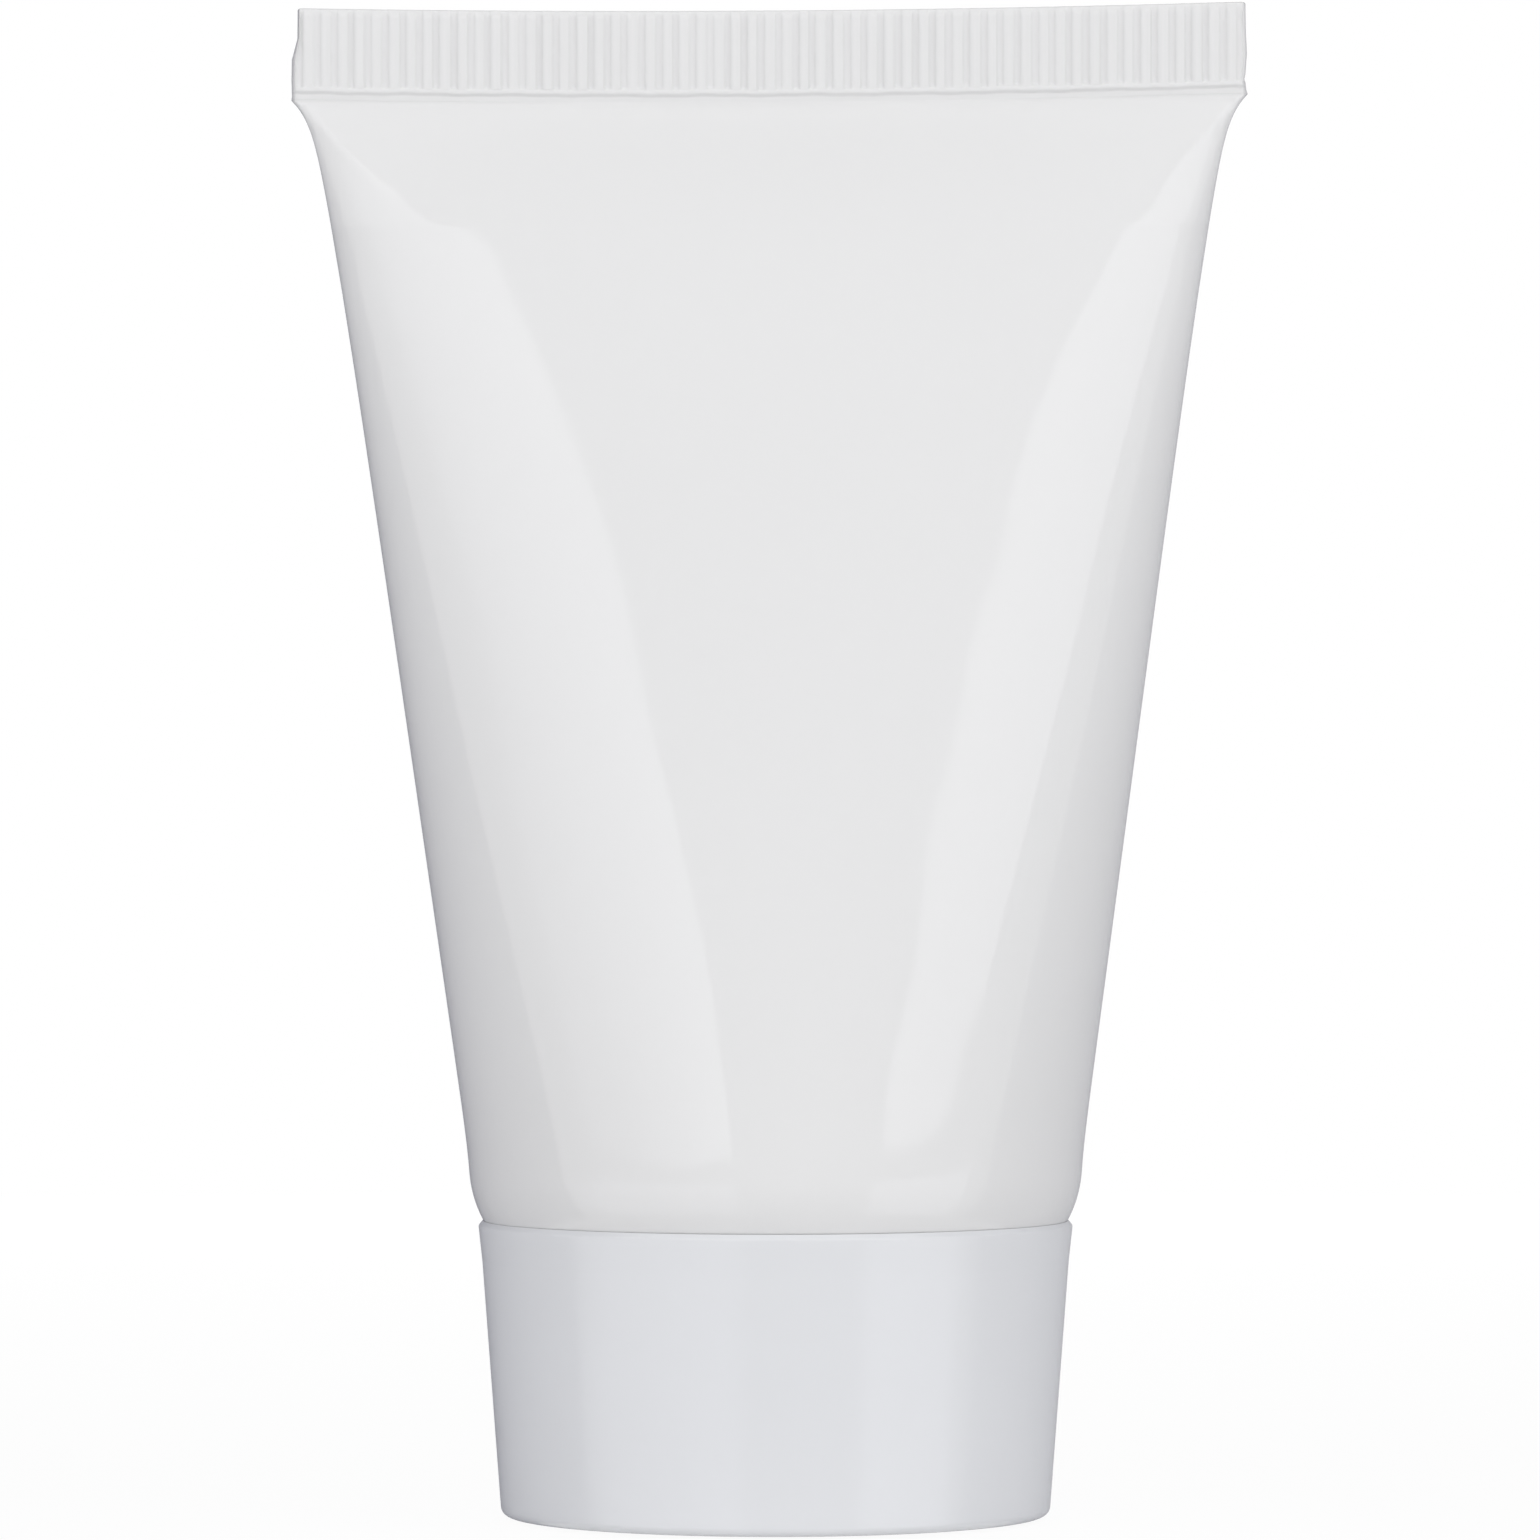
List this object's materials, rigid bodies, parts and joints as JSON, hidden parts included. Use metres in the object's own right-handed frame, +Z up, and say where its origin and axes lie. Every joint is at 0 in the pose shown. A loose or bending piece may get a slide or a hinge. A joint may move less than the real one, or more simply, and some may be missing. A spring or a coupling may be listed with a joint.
{
  "type": "sunscreen tube",
  "caption": "Plain white squeeze tube of lotion that stands on its tapered screw cap, with a crimped flat seal at the top and a threaded neck inside the cap.",
  "frame": {"origin": "centre of the cap's flat end, on the surface that the tube stands on", "axes": "+Z up the axis of the cap and tube, X along the flat seal, the front faces -Y"},
  "size_m": [0.0549, 0.035, 0.0869],
  "materials": {
    "sleeve_plastic": "glossy white polyethylene film, slightly milky",
    "head_plastic": "satin natural white moulding",
    "lotion": "wet, creamy",
    "cap_plastic": "satin to glossy white polypropylene, slightly cool",
    "liner_foam": "soft, dull foamed sheet"
  },
  "bodies": {
    "cap": {"cap": "cap_plastic"},
    "liner": {"cap_liner": "liner_foam"},
    "tube": {"sleeve": "sleeve_plastic", "tube_head": "head_plastic", "lotion": "lotion"}
  },
  "joints": [
    {"name": "cap_turn", "type": "hinge", "parent": "cap", "child": "liner", "pos_m": [0, 0, 0.002], "axis": [0, 0, 1], "range_deg": [0, 2160]},
    {"name": "tube_lift", "type": "slide", "parent": "liner", "child": "tube", "axis": [0, 0, 1], "range_m": [0, 0.018]}
  ],
  "couplings": [
    {"joint": "tube_lift", "follows": "cap_turn", "m_per_rad": 0.00047746}
  ]
}
